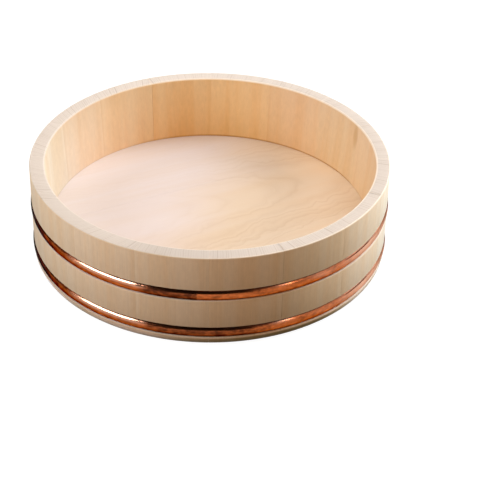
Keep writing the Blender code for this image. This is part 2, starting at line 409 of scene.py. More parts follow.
@dataclass(frozen=True)
class StaveWood(PlanedWood):
    """Quarter-sawn wood: upright lines on the faces, rings across the rim."""

    ring_width: float = 1.75
    wander: float = 4.0
    wander_scale: Triple = (0.03, 0.03, 0.006)
    outside_rings: float = 0.18
    inside_rings: float = 0.07
    patch_scale: Triple = (0.10, 0.10, 0.012)
    patch_edge: Pair = (0.42, 0.68)
    patch_lines: Pair = (0.25, 1.0)
    streak_width: float = 9.0
    streak_share: float = 0.8
    mottle_scale: Triple = (0.35, 0.35, 0.16)
    mottle: Pair = (0.96, 1.04)
    # Painted light: the outside lighter towards the rim and darker low down.
    top_light: Pair = (0.915, 1.085)
    top_light_heights: Pair = (10.0 * MM, 70.0 * MM)
    # Painted shade at the foot, darker towards the table.
    foot_shade: float = 0.68
    foot_heights: Pair = (1.0 * MM, 9.0 * MM)
    # Painted warm bounce light and shade: the whole inside darker and warmer than the outside.
    inside_bounce_tint: Colour = (0.895, 0.835, 0.74)
    # Painted shade in the crease just above the floor, at the back and the right.
    crease_shade_tint: Colour = (0.68, 0.54, 0.40)
    crease_shade_heights: Pair = (24.6 * MM, 25.6 * MM)
    crease_shade_right: Pair = (-80.0 * MM, 0.0)
    crease_shade_back: Pair = (40.0 * MM, 60.0 * MM)
    knot: Triple = (113.6 * MM, 50.3 * MM, 64.5 * MM)
    knot_size: Triple = (4.6 * MM, 4.6 * MM, 15.0 * MM)
    knot_edge: Pair = (0.25, 1.0)
    knot_tint: Colour = (0.85, 0.76, 0.64)
    end_grain: Colour = (0.607, 0.580, 0.546)
    end_late: Colour = (0.27, 0.21, 0.15)
    end_rings: float = 0.64
    end_contrast: float = 2.5
    end_edge: Pair = (0.45, 0.80)
    pore_scale: Triple = (4.5, 4.5, 4.5)
    pores: Pair = (0.94, 1.05)
    # Painted highlight along the rounded arrises of the rim and the hoop seats' ledges, cut back on the left.
    edge_highlight_colour: Colour = (0.95, 0.90, 0.82)
    edge_highlight_share: float = 0.65
    edge_highlight_from: Pair = (0.25, 0.55)
    edge_highlight_to: Pair = (0.975, 0.998)
    highlight_cut_left: float = 0.8
    highlight_cut_span: Pair = (-90.0 * MM, 30.0 * MM)

    def build(self) -> Material:
        """Make the material.

        Returns:
            The finished material.
        """
        material, pen = new_pen(self.name, GrainPen)
        drift = pen.swing(pen.grained(self.wander_scale), self.wander)
        count = pen.math("DIVIDE", pen.plus(pen.axes(pen.grain)[0], drift), self.ring_width)
        late = self.lines(pen, count, self.FACE)
        right, _, height = pen.axes(pen.point())
        upright = pen.axes(pen.add("NewGeometry", {}).outputs["Normal"])[2]
        end = pen.span(pen.math("ABSOLUTE", upright), self.end_edge, smooth=True)
        colour = pen.mix(end, self.sides(pen, late), self.ends(pen, count))
        # Painted shade, darker towards the foot.
        painted_shading = pen.span(height, self.foot_heights, (self.foot_shade, 1.0), smooth=True)
        # Painted highlight on the arrises that face partly up.
        lit_edges = pen.times(pen.span(upright, self.edge_highlight_from, (0.0, self.edge_highlight_share)),
                         pen.span(upright, self.edge_highlight_to, FALL))
        dimmed = pen.span(right, self.highlight_cut_span, (self.highlight_cut_left, 0.0))
        lit_edges = pen.times(lit_edges, pen.minus(1.0, dimmed))
        self.surface(pen, pen.mix(lit_edges, pen.shaded(colour, painted_shading), self.edge_highlight_colour), late)
        return material

    def sides(self, pen: GrainPen, late: Socket) -> Socket:
        """Colour of the outside and the inside.

        Args:
            pen: the material's nodes.
            late: share of latewood.
        Returns:
            The colour.
        """
        place = pen.attribute("place")
        places = (Place.INSIDE.value, Place.OUTSIDE.value)
        lined = pen.span(pen.grained(self.patch_scale), self.patch_edge, self.patch_lines, smooth=True)
        strength = pen.times(pen.span(place, places, (self.inside_rings, self.outside_rings)), lined)
        side = pen.mix(pen.times(late, strength), self.early, self.late)
        side = self.streaks(pen, side, self.streak_width, self.streak_share)
        mottle = pen.grained(self.mottle_scale, detail=3.0, roughness=0.6)
        side = pen.shaded(side, pen.span(mottle, NOISE_MOST, self.mottle))
        height = pen.axes(pen.point())[2]
        # Painted light: lighter towards the rim, darker low down.
        outside = pen.shaded(side, pen.span(height, self.top_light_heights, self.top_light))
        side = pen.mix(pen.span(place, places), self.lining(pen, side), outside)
        return pen.tinted(side, pen.attribute("tone", "Color"))

    def lining(self, pen: GrainPen, side: Socket) -> Socket:
        """Colour of the inside, with painted shade along the crease above the floor and one knot.

        Args:
            pen: the material's nodes.
            side: the wood's colour.
        Returns:
            The colour.
        """
        point = pen.point()
        right, back, height = pen.axes(point)
        # Painted bounce light and shade over the inside.
        lining = pen.tinted(side, self.inside_bounce_tint)
        # Painted shade in the crease above the floor, fading out to the left and the front.
        painted_shading = pen.times(pen.span(height, self.crease_shade_heights, FALL), pen.span(right, self.crease_shade_right))
        painted_shading = pen.times(painted_shading, pen.span(back, self.crease_shade_back))
        lining = pen.mix(painted_shading, lining, pen.tinted(lining, self.crease_shade_tint))
        spot = pen.stretch(point, [1.0 / each for each in self.knot_size],
                           [-at / each for at, each in zip(self.knot, self.knot_size)])
        knot = pen.span(pen.length(spot), self.knot_edge, FALL, smooth=True)
        return pen.mix(knot, lining, pen.tinted(lining, self.knot_tint))

    def ends(self, pen: GrainPen, count: Socket) -> Socket:
        """Colour of the rim and the foot, where the rings are cut across.

        Args:
            pen: the material's nodes.
            count: rings, with fractions.
        Returns:
            The colour.
        """
        dark = self.lines(pen, count, self.CUT, self.end_contrast)
        cut = pen.mix(pen.times(dark, self.end_rings), self.end_grain, self.end_late)
        # Painted shade and light round the rim, with the dark joint lines.
        cut = pen.shaded(cut, pen.attribute("end_joints_and_shade"))
        pores = pen.grained(self.pore_scale, detail=3.0, roughness=0.7)
        return pen.shaded(cut, pen.span(pores, NOISE_MOST, self.pores))


@dataclass(frozen=True)
class BoardWood(PlanedWood):
    """Flat-sawn wood: rings arch over the pith, with sapwood at one end and tan heartwood at the other."""

    sapwood: Colour = (0.690, 0.651, 0.664)
    ring_width: float = 4.2
    heart_rings: float = 0.30
    sap_rings: float = 0.066
    pith_depth: float = 42.8
    pith_slope: float = 0.115
    pith_across: float = 14.0
    sways: Sequence[tuple[Triple, float]] = (
        ((0.016, 0.016, 0.010), 26.0), ((0.07, 0.07, 0.022), 7.0), ((0.045, 0.045, 0.075), 14.0))
    border: Pair = (-50.0, 34.0)
    border_slant: float = 0.707
    border_wave: float = 60.0
    border_scale: Triple = (0.03, 0.03, 0.012)
    streak_width: float = 14.0
    streak_share: float = 0.55
    # Painted light: the floor lighter towards its right end, where the right wall's shadow falls.
    right_light_lift: float = 1.22
    right_light_span: Pair = (45.0 * MM, 95.0 * MM)
    # Painted light along the floor's edge at the back, where the wall's shade falls.
    back_edge_lift: float = 0.16
    back_edge_radii: Pair = (85.0 * MM, 118.0 * MM)
    back_edge_span: Pair = (20.0 * MM, 70.0 * MM)

    def build(self) -> Material:
        """Make the material.

        Returns:
            The finished material.
        """
        material, pen = new_pen(self.name, GrainPen)
        across, _, along = pen.axes(pen.grain)
        late = self.lines(pen, self.arches(pen, across, along), self.SOFT)
        heart = pen.mix(pen.times(late, self.heart_rings), self.early, self.late)
        sap = pen.mix(pen.times(late, self.sap_rings), self.sapwood, self.late)
        reach = pen.minus(pen.times(along, self.border_slant), pen.times(across, self.border_slant))
        reach = pen.plus(reach, pen.swing(pen.grained(self.border_scale), self.border_wave))
        colour = pen.mix(pen.span(reach, self.border, smooth=True), sap, heart)
        colour = self.streaks(pen, colour, self.streak_width, self.streak_share)
        point = pen.point()
        right, back, _ = pen.axes(point)
        # Painted light towards the right end and along the back edge.
        painted_light = pen.span(right, self.right_light_span, (1.0, self.right_light_lift), smooth=True)
        radius = pen.length(pen.stretch(point, (1.0, 1.0, 0.0)))
        back_edge_light = pen.times(pen.span(radius, self.back_edge_radii, (0.0, self.back_edge_lift)),
                          pen.span(back, self.back_edge_span))
        painted_light = pen.times(painted_light, pen.plus(back_edge_light, 1.0))
        self.surface(pen, pen.shaded(colour, painted_light), late)
        return material

    def arches(self, pen: GrainPen, across: Socket, along: Socket) -> Socket:
        """Count the rings from a pith that runs under the boards and dips along them.

        Args:
            pen: the material's nodes.
            across: distance across the grain.
            along: distance along the grain.
        Returns:
            Rings from the pith, with fractions.
        """
        side = across
        for scale, width in self.sways:
            side = pen.plus(side, pen.swing(pen.grained(scale), width))
        side = pen.minus(side, self.pith_across)
        depth = pen.plus(pen.times(along, self.pith_slope), self.pith_depth)
        square = pen.plus(pen.math("POWER", side, 2.0), pen.math("POWER", depth, 2.0))
        return pen.math("DIVIDE", pen.math("SQRT", square), self.ring_width)


@dataclass(frozen=True)
class CopperFinish:
    """Half-round copper, dressed with a hammer and lacquered over a warm tarnish; the tarnish also carries
    painted shade and dark reflections, and a painted sheen makes it paler where the highlights fall.
    """

    name: str = "hoop_copper"
    bright: Colour = (0.52, 0.130, 0.034)
    # Dark copper, for real tarnish and for painted shade and dark reflections.
    tarnish_and_shade: Colour = (0.075, 0.016, 0.005)
    # Paler copper for the painted sheen where the highlights fall.
    sheen_colour: Colour = (0.80, 0.50, 0.36)
    edge_tint: Colour = (0.62, 0.36, 0.24)
    edge_tarnish_and_shade: Colour = (0.12, 0.055, 0.035)
    blotch_scale: Triple = (0.22, 0.5, 0.5)
    blotch: Pair = (-0.35, 0.35)
    darkness_edge: Pair = (0.05, 0.95)
    brush_scale: Triple = (0.12, 4.0, 4.0)
    brush: Pair = (0.88, 1.12)
    brush_height: float = 0.02
    dent_scale: Triple = (0.20, 0.30, 0.30)
    roughness: Pair = (0.17, 0.24)
    sheen_gloss: float = 0.09
    lacquer: float = 0.55
    lacquer_roughness: float = 0.07
    bump: float = 0.22
    relief: float = 0.25 * MM

    def build(self) -> Material:
        """Make the material.

        Returns:
            The finished material.
        """
        material, pen = new_pen(self.name, GrainPen)
        blotch = pen.grained(self.blotch_scale, detail=5.0, roughness=0.65)
        brushed = pen.grained(self.brush_scale, detail=3.0)
        # Tarnish with painted shade and dark reflections, blotched.
        darkness = pen.plus(pen.attribute("tarnish_and_shade"), pen.span(blotch, NOISE_CORE, self.blotch))
        # Painted sheen: paler, glossier and lacquered where the highlights fall.
        painted_sheen = pen.attribute("painted_sheen")
        dark_share = pen.span(darkness, self.darkness_edge)
        colour = pen.mix(painted_sheen, pen.mix(dark_share, self.bright, self.tarnish_and_shade), self.sheen_colour)
        gloss = pen.minus(pen.span(darkness, UNIT, self.roughness), pen.times(painted_sheen, self.sheen_gloss))
        height = pen.plus(pen.grained(self.dent_scale), pen.times(brushed, self.brush_height))
        pen.finish("BsdfPrincipled", {
            "Base Color": pen.shaded(colour, pen.span(brushed, NOISE_CORE, self.brush)),
            "Metallic": 1.0, "Roughness": gloss,
            "Specular Tint": pen.mix(dark_share, self.edge_tint, self.edge_tarnish_and_shade),
            "Coat Weight": pen.times(painted_sheen, self.lacquer), "Coat Roughness": self.lacquer_roughness,
            "Normal": pen.bump(height, self.bump, self.relief)})
        return material


@dataclass(frozen=True)
class BambooFinish:
    """Split bamboo, shaved to a pin."""

    name: str = "pin_bamboo"
    pale: Colour = (0.60, 0.45, 0.24)
    dark: Colour = (0.42, 0.29, 0.14)
    strand_scale: float = 2.2 / MM
    roughness: Pair = (0.4, 0.6)
    bump: float = 0.2
    relief: float = 0.1 * MM

    def build(self) -> Material:
        """Make the material.

        Returns:
            The finished material.
        """
        material, pen = new_pen(self.name)
        strand = pen.noise(pen.point(), (self.strand_scale,) * 3, detail=4.0, roughness=0.7)
        pen.finish("BsdfPrincipled", {
            "Base Color": pen.mix(pen.span(strand, NOISE_CORE), self.pale, self.dark),
            "Roughness": pen.span(strand, NOISE_WIDE, self.roughness),
            "Normal": pen.bump(strand, self.bump, self.relief)})
        return material


@dataclass(frozen=True)
class TableFinish:
    """A pale table top that the camera and the copper see as white, with the tub's soft shadow on it."""

    name: str = "pale_table"
    paint: float = 0.15
    glow: float = 0.955

    def build(self) -> Material:
        """Make the material.

        Returns:
            The finished material.
        """
        material, pen = new_pen(self.name)
        strength = pen.times(pen.seen_directly(), self.glow)
        paint = pen.add("BsdfDiffuse", {"Color": (self.paint,) * 3})
        glow = pen.add("Emission", {"Color": WHITE, "Strength": strength})
        pen.finish("AddShader", {0: paint.outputs[0], 1: glow.outputs[0]})
        return material


def store(mesh: Mesh, name: str, values: np.ndarray) -> None:
    """Keep a number or a vector for each point of a mesh.

    Args:
        mesh: the mesh.
        name: the attribute's name.
        values: one row for each point.
    """
    kind, part = ("FLOAT_VECTOR", "vector") if values.ndim > 1 else ("FLOAT", "value")
    layer = mesh.attributes.new(name, kind, "POINT")
    layer.data.foreach_set(part, np.ascontiguousarray(values, np.float32).ravel())


def points_of(mesh: Mesh) -> np.ndarray:
    """The points of a mesh.

    Args:
        mesh: the mesh.
    Returns:
        Rows of x, y and z.
    """
    flat = np.zeros(len(mesh.vertices) * 3, np.float32)
    mesh.vertices.foreach_get("co", flat)
    return flat.reshape(-1, 3).astype(float)


def move_points(mesh: Mesh, points: np.ndarray) -> None:
    """Give a mesh's points new places."""
    mesh.vertices.foreach_set("co", points.astype(np.float32).ravel())


def show(name: str, content: object) -> Piece:
    """Put a mesh, lamp or camera into the scene.

    Args:
        name: its name.
        content: the data that it shows.
    Returns:
        The new object.
    """
    shown = bpy.data.objects.new(name, content)
    bpy.context.scene.collection.objects.link(shown)
    return shown


def put(node: str, mesh: Mesh, material: Material, sharp: float = 40.0) -> Piece:
    """Show a mesh in place of a construction node.

    Args:
        node: the node that it stands for.
        mesh: its shape, in the tub's frame.
        material: its finish.
        sharp: corners over this angle, in degrees, stay crisp.
    Returns:
        The new piece.
    """
    mesh.shade_smooth()
    mesh.set_sharp_from_angle(angle=math.radians(sharp))
    mesh.materials.append(material)
    piece = show(f"{node}_dressed", mesh)
    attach(piece, BODY)
    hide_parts(node)
    LOG.info("%s: %d faces", piece.name, len(mesh.polygons))
    return piece


def arc(centre: Pair, radii: Pair, start: float, stop: float, steps: int) -> np.ndarray:
    """Rows of radius and height on an elliptical arc, from start to stop in degrees."""
    angles = np.radians(np.linspace(start, stop, steps + 1))
    return np.column_stack((centre[0] + radii[0] * np.cos(angles), centre[1] + radii[1] * np.sin(angles)))


def swept(profile: np.ndarray, angles: np.ndarray, inset: np.ndarray, closed: bool) -> Mesh:
    """Sweep a closed section round the tub's axis.

    Args:
        profile: rows of radius and height, running down the outside and up the inside.
        angles: where a section stands, in radians.
        inset: how far each section is drawn in from its outline.
        closed: join the last section to the first; otherwise both ends get a face.
    Returns:
        The mesh.
    """
    ahead = np.roll(profile, -1, axis=0) - profile
    ahead /= np.linalg.norm(ahead, axis=1)[:, None]
    along = ahead + np.roll(ahead, 1, axis=0)
    along /= np.maximum(np.linalg.norm(along, axis=1)[:, None], TINY)
    inward = np.column_stack((along[:, 1], -along[:, 0]))
    count, rows = len(profile), len(angles)
    verts = []
    for angle, depth in zip(angles, inset):
        radius, height = (profile + inward * depth).T
        verts.append(np.column_stack((radius * math.cos(angle), radius * math.sin(angle), height)))
    faces = []
    for row in range(rows if closed else rows - 1):
        here, after = row * count, (row + 1) % rows * count
        for index in range(count):
            beside = (index + 1) % count
            faces.append((here + index, here + beside, after + beside, after + index))
    if not closed:
        faces.append(tuple(range(count - 1, -1, -1)))
        faces.append(tuple((rows - 1) * count + index for index in range(count)))
    mesh = bpy.data.meshes.new("swept")
    mesh.from_pydata(np.concatenate(verts).tolist(), [], faces)
    mesh.validate()
    return mesh


@dataclass
class StaveWall:
    """The wall: upright staves, turned outside and in, with seats for hoops and a croze for the bottom."""

    count: int = 16
    height: float = 75.0 * MM
    rim_radius: float = 135.0 * MM
    taper: float = 1.0 * MM
    rim_wall: float = 11.0 * MM
    inner_shift: Pair = (0.5 * MM, 0.6 * MM)
    floor_wall: float = 14.0 * MM
    floor_height: float = 24.0 * MM
    croze_depth: float = 4.0 * MM
    croze_low: float = 16.4 * MM
    croze_high: float = 24.15 * MM
    outer_round: float = 0.9 * MM
    inner_round: float = 1.6 * MM
    round_steps: int = 6
    foot_height: float = 6.4 * MM
    foot_depth: float = 5.2 * MM
    foot_steps: int = 8
    heel: float = 1.5 * MM
    seat_width: float = 8.6 * MM
    seat_depth: float = 2.5 * MM
    seat_arris: float = 0.4 * MM
    seat_arris_steps: int = 3
    seat_ledge: float = 1.10 * MM
    seat_ledge_steps: int = 4
    hoop_heights: Pair = (43.3 * MM, 11.5 * MM)
    half_glue_line: float = 0.01 * MM
    joint_strip: float = 0.35 * MM
    joint_arris: float = 0.05 * MM
    open_arris: float = 0.02 * MM
    open_gap: float = 0.08 * MM
    open_joints: Sequence[int] = (1, 5, 13, 15)
    steps: int = 18
    grain_radius: float = 130.0 * MM
    tilt_spread: float = 14.0
    left_tilt: float = 35.0
    tone_spread: float = 0.012
    own_tone: float = 0.25
    # Tones of the staves, inside and out: partly the planks' own colour, partly painted light and shade round
    # the tub.
    inside_tones: Sequence[StaveTone] = tones(
        "BEIGE FLAX TAN HONEY HONEY STRAW PALE BONE BONE PALE PLAIN PLAIN PLAIN PLAIN PLAIN BEIGE")
    outside_tones: Sequence[StaveTone] = tones(
        "DRAB DRAB DRAB DRAB BROWN OAT OAT OAT DRAB OAT WARM WARM WARM BROWN PLAIN CREAM")
    # Tone of the end grain round the tub: painted shade and light on the rim, and two dark joint lines.
    rim_joints_and_shade: Curve = (
        (0.0, 0.95), (60.0, 0.97), (105.0, 1.05), (135.0, 1.05), (200.0, 1.02), (240.0, 0.99), (255.0, 0.88),
        (272.0, 0.91), (290.0, 1.0), (292.29, 1.0), (292.45, 0.5), (292.55, 0.5), (292.71, 1.0),
        (337.29, 0.99), (337.45, 0.42), (337.55, 0.42), (337.71, 0.955))
    # Painted light on the outside below the upper hoop, at the right front.
    belt_light: Curve = (
        (295.0, 1.0), (304.0, 1.12), (315.0, 1.07), (325.0, 1.05), (335.0, 1.04), (350.0, 1.0))
    # Painted light and shade on the outside at the foot, round the tub; each channel takes the curve to its
    # own power, blue most.
    foot_light_and_shade: Curve = (
        (208.0, 1.8), (216.0, 1.4), (226.0, 1.0), (240.0, 1.35), (253.0, 1.3), (265.0, 0.80), (280.0, 0.50),
        (306.0, 0.42), (325.0, 1.3), (336.0, 1.1))
    foot_shading_channels: Triple = (1.0, 1.1, 1.7)
    foot_shading_height: float = 6.08 * MM
    # Painted shade on the inside, warmer and darker towards the floor at the back, and painted light on the
    # left where the curve goes below zero.
    floor_shade_tint: Colour = (0.92, 0.86, 0.74)
    floor_shading: Curve = (
        (20.0, 0.7), (50.0, 0.8), (79.0, 1.5), (101.0, 1.2), (124.0, -0.6), (150.0, -0.7), (180.0, 0.0),
        (340.0, 0.8))
    # Painted bounce light from the floor on the lower inside, at the back and the left.
    floor_bounce_tint: Colour = (1.17, 1.08, 1.0)
    floor_bounce: Curve = (
        (20.0, 0.3), (65.0, 0.3), (80.0, 0.3), (95.0, 0.7), (110.0, 1.0), (140.0, 0.9), (158.0, 0.0),
        (350.0, 0.0))
    seed: int = 7
    finish: StaveWood = field(default_factory=lambda: StaveWood(
        name="stave_softwood", early=(0.825, 0.735, 0.580), late=(0.548, 0.420, 0.280),
        honey=(0.97, 0.90, 0.80), fibre=0.032))

    def outside(self, z: float) -> float:
        """Outside radius of the wall at a height."""
        return self.rim_radius - self.taper * (1.0 - z / self.height)

    def inside(self, z: float) -> float:
        """Inside radius of the wall, before it is leaned.

        Args:
            z: height above the table.
        Returns:
            The radius.
        """
        at_floor = self.outside(self.floor_height) - self.floor_wall
        at_rim = self.rim_radius - self.rim_wall
        share = max(0.0, (z - self.floor_height) / (self.height - self.floor_height))
        return at_floor + (at_rim - at_floor) * share

    def midwall(self) -> float:
        """Radius between the wall's two faces at half height."""
        return (self.outside(self.height / 2.0) + self.inside(self.height / 2.0)) / 2.0

    def seat(self, middle: float) -> np.ndarray:
        """Section of one hoop seat, with softened lips.

        Args:
            middle: height of the hoop's middle.
        Returns:
            Rows of radius and height, from the upper lip to the lower lip.
        """
        top, bottom = middle + self.seat_width / 2.0, middle - self.seat_width / 2.0
        lip, ledge = self.seat_arris, self.seat_ledge
        deep = self.outside(middle) - self.seat_depth
        upper = arc((self.outside(top) - lip, top + lip), (lip, lip), 0.0, -90.0, self.seat_arris_steps)
        lower = arc((self.outside(bottom) - ledge, bottom - ledge), (ledge, ledge), 90.0, 0.0,
                    self.seat_ledge_steps)
        return np.vstack((upper, [(deep, top), (deep, bottom)], lower))

    def section(self) -> np.ndarray:
        """A stave's upright section, down the outside from the rim and up the inside.

        Returns:
            Rows of radius and height.
        """
        rim = arc((self.outside(self.height) - self.outer_round, self.height - self.outer_round),
                  (self.outer_round,) * 2, 90.0, 0.0, self.round_steps)
        seats = [self.seat(middle) for middle in self.hoop_heights]
        foot = arc((self.outside(self.foot_height) - self.foot_depth, self.foot_height),
                   (self.foot_depth, self.foot_height), 0.0, -90.0, self.foot_steps)
        inner = self.inside(0.0)
        heel = [(inner + self.heel, 0.0), (inner, self.heel)]
        deep = self.inside(self.floor_height) + self.croze_depth
        croze = [(inner, self.croze_low), (deep, self.croze_low), (deep, self.croze_high),
                 (self.inside(self.croze_high), self.croze_high)]
        lip = arc((self.inside(self.height) + self.inner_round, self.height - self.inner_round),
                  (self.inner_round,) * 2, 180.0, 90.0, self.round_steps)
        return np.vstack((rim, *seats, foot, heel, croze, lip))

    def build(self) -> list[Piece]:
        """Make and dress every stave.

        Returns:
            The staves in order.
        """
        wood = self.finish.build()
        draw = np.random.default_rng(self.seed)
        return [self.stave(number, wood, draw) for number in range(self.count)]

    def stave(self, number: int, wood: Material, draw: Draw) -> Piece:
        """Make one stave.

        Args:
            number: its place round the tub, from 0 at +X.
            wood: its finish.
            draw: source of the differences between staves.
        Returns:
            The stave.
        """
        pitch = TURN / self.count
        opened = [joint % self.count in self.open_joints for joint in (number, number + 1)]
        gaps = [(self.open_gap if is_open else self.half_glue_line) / self.grain_radius for is_open in opened]
        strip = self.joint_strip / self.grain_radius
        start, stop = number * pitch + gaps[0], (number + 1) * pitch - gaps[1]
        angles = np.concatenate(([start], np.linspace(start + strip, stop - strip, self.steps), [stop]))
        arrises = [self.open_arris if is_open else self.joint_arris for is_open in opened]
        inset = np.concatenate((arrises[:1], np.zeros(self.steps), arrises[1:]))
        mesh = swept(self.section(), angles, inset, closed=False)
        self.hollow(mesh)
        self.mark(mesh, number, draw)
        return put(f"stave_{number + 1:02d}", mesh, wood)

    def hollow(self, mesh: Mesh) -> None:
        """Lean the inside towards the rim's thinner side, where the turner took off a little more.

        Args:
            mesh: the stave.
        """
        co = points_of(mesh)
        rise = np.clip((co[:, 2] - self.floor_height) / (self.height - self.floor_height), 0.0, 1.0)
        rise[np.hypot(co[:, 0], co[:, 1]) > self.midwall()] = 0.0
        co[:, :2] += np.outer(rise, self.inner_shift)
        move_points(mesh, co)

    def mark(self, mesh: Mesh, number: int, draw: Draw) -> None:
        """Give a stave its grain, its tone and which way its faces look.

        Args:
            mesh: the stave.
            number: its place round the tub.
            draw: source of the differences between staves.
        """
        middle = (number + 0.5) * TURN / self.count
        leaning = self.left_tilt * max(0.0, -math.cos(middle)) + draw.uniform(-1.0, 1.0) * self.tilt_spread
        tilt = math.radians(leaning)
        tone = 1.0 + draw.uniform(-1.0, 1.0) * self.tone_spread
        shift = draw.uniform(-0.5, 0.5, 3)
        co = points_of(mesh)
        radius = np.hypot(co[:, 0], co[:, 1])
        turn = np.angle(np.exp(1j * (np.arctan2(co[:, 1], co[:, 0]) - middle)))
        along, through = turn * self.grain_radius, radius - self.grain_radius
        grain = np.column_stack((along * math.cos(tilt) + through * math.sin(tilt),
                                 through * math.cos(tilt) - along * math.sin(tilt), co[:, 2])) + shift
        place = np.where(radius > self.midwall(), Place.OUTSIDE.value, Place.INSIDE.value)
        store(mesh, "grain", grain)
        store(mesh, "place", place)
        around = middle + turn
        store(mesh, "end_joints_and_shade", round_tub(self.rim_joints_and_shade, np.degrees(around)))
        inner, outer = (self.eased(each, number, around) for each in (self.inside_tones, self.outside_tones))
        inner, outer = self.age(inner, outer, np.degrees(around), co[:, 2])
        # The stored tone carries painted light and shade as well as the planks' colour.
        store(mesh, "tone", np.where(place[:, None] == Place.OUTSIDE.value, outer, inner) * tone)

    def eased(self, tints: Sequence[StaveTone], number: int, around: np.ndarray) -> np.ndarray:
        """A stave's own tone, eased towards its neighbours'.

        Args:
            tints: the tones of all staves.
            number: its place round the tub.
            around: angle of each point, in radians.
        Returns:
            One colour for each point.
        """
        middles = (np.arange(self.count) + 0.5) * TURN / self.count
        table = np.array([each.value for each in tints])
        eased = np.column_stack([np.interp(around, middles, channel, period=TURN) for channel in table.T])
        return eased + (table[number] - eased) * self.own_tone

    def age(self, inner: np.ndarray, outer: np.ndarray, degrees: np.ndarray,
            height: np.ndarray) -> tuple[np.ndarray, np.ndarray]:
        """Paint shade and bounce light on the inside above the floor, and light and shade on the outside at
        the foot and below the upper hoop.

        Args:
            inner: inside colours, one for each point.
            outer: outside colours, one for each point.
            degrees: angle of each point.
            height: height of each point.
        Returns:
            The inside and outside colours with their painted light and shade.
        """
        depth = np.clip((self.height - height) / (self.height - self.floor_height), 0.0, 1.0)
        # Painted shade and painted bounce light on the inside, stronger towards the floor.
        for tint, curve in ((self.floor_shade_tint, self.floor_shading), (self.floor_bounce_tint, self.floor_bounce)):
            inner = inner * np.array(tint) ** (round_tub(curve, degrees) * depth)[:, None]
        belt = np.where(height < self.hoop_heights[0], round_tub(self.belt_light, degrees), 1.0)
        painted_shading = np.where(height < self.foot_shading_height, round_tub(self.foot_light_and_shade, degrees), 1.0)
        return inner, outer * belt[:, None] * painted_shading[:, None] ** np.array(self.foot_shading_channels)


@dataclass
class BoardBottom:
    """The bottom: three boards joined edge to edge, tongued into the croze."""

    top: float = 23.95 * MM
    thickness: float = 12.0 * MM
    edge_radius: float = 124.2 * MM
    tongue: float = 7.45 * MM
    shoulder: float = 120.0 * MM
    bevel: float = 10.0 * MM
    middle_width: float = 84.0 * MM
    grain_angle: float = 26.0
    half_glue_line: float = 0.02 * MM
    arris: float = 0.10 * MM
    arris_steps: int = 2
    weld: float = 0.01 * MM
    cut_width: float = 1e-7
    squareness: float = 0.999
    steps: int = 192
    finish: BoardWood = field(default_factory=lambda: BoardWood(
        name="board_softwood", early=(0.680, 0.591, 0.480), late=(0.490, 0.368, 0.246),
        honey=(0.98, 0.94, 0.88), fibre=0.012))

    def build(self) -> list[Piece]:
        """Make and dress the boards.

        Returns:
            The boards, from front to back.
        """
        wood = self.finish.build()
        near, far = (self.middle_width / 2.0 + side * self.half_glue_line for side in (-1.0, 1.0))
        cuts = {Board.FRONT: (None, -far), Board.MIDDLE: (-near, near), Board.BACK: (far, None)}
        return [self.board(board, low, high, wood) for board, (low, high) in cuts.items()]

    def disc(self) -> bmesh.types.BMesh:
        """The whole bottom as one turned disc, before it is parted into boards.

        Returns:
            The disc.
        """
        low, under = self.top - self.tongue, self.top - self.thickness
        outline = ((0.0, self.top), (self.edge_radius, self.top), (self.edge_radius, low),
                   (self.shoulder, low), (self.shoulder - self.bevel, under), (0.0, under))
        disc = bmesh.new()
        verts = [disc.verts.new((radius, 0.0, height)) for radius, height in outline]
        edges = [disc.edges.new(pair) for pair in zip(verts, verts[1:])]
        bmesh.ops.spin(disc, geom=verts + edges, cent=(0, 0, 0), axis=(0, 0, 1), angle=TURN, steps=self.steps)
        bmesh.ops.remove_doubles(disc, verts=disc.verts, dist=self.weld)
        return disc

    def board(self, board: Board, low: Optional[float], high: Optional[float], wood: Material) -> Piece:
        """Cut one board out of the disc and soften its joint edges.

        Args:
            board: which board.
            low: cut on its front side, across the grain, or None where it is round.
            high: cut on its back side, or None.
            wood: its finish.
        Returns:
            The board.
        """
        disc = self.disc()
        across = Matrix.Rotation(math.radians(self.grain_angle), 3, "Z") @ Vector((0.0, 1.0, 0.0))
        for cut, side in ((low, -1.0), (high, 1.0)):
            if cut is not None:
                everything = list(disc.verts) + list(disc.edges) + list(disc.faces)
                bmesh.ops.bisect_plane(disc, geom=everything, dist=self.cut_width, clear_outer=True,
                                       plane_co=across * cut, plane_no=across * side)
        bmesh.ops.holes_fill(disc, edges=[edge for edge in disc.edges if edge.is_boundary], sides=0)
        bmesh.ops.recalc_face_normals(disc, faces=disc.faces)
        joints = [face for face in disc.faces
                  if abs(face.normal.dot(across)) > self.squareness and len(face.verts) > QUAD_CORNERS]
        rims = list({edge for face in joints for edge in face.edges})
        bmesh.ops.bevel(disc, geom=rims, offset=self.arris, segments=self.arris_steps, affect="EDGES",
                        profile=0.5)
        mesh = bpy.data.meshes.new(board.value)
        disc.to_mesh(mesh)
        disc.free()
        self.mark(mesh)
        return put(board.value, mesh, wood)

    def mark(self, mesh: Mesh) -> None:
        """Give a board its grain.

        Args:
            mesh: the board.
        """
        right, back, height = points_of(mesh).T
        angle = math.radians(self.grain_angle)
        along = right * math.cos(angle) + back * math.sin(angle)
        across = back * math.cos(angle) - right * math.sin(angle)
        store(mesh, "grain", np.column_stack((across, height, along)))


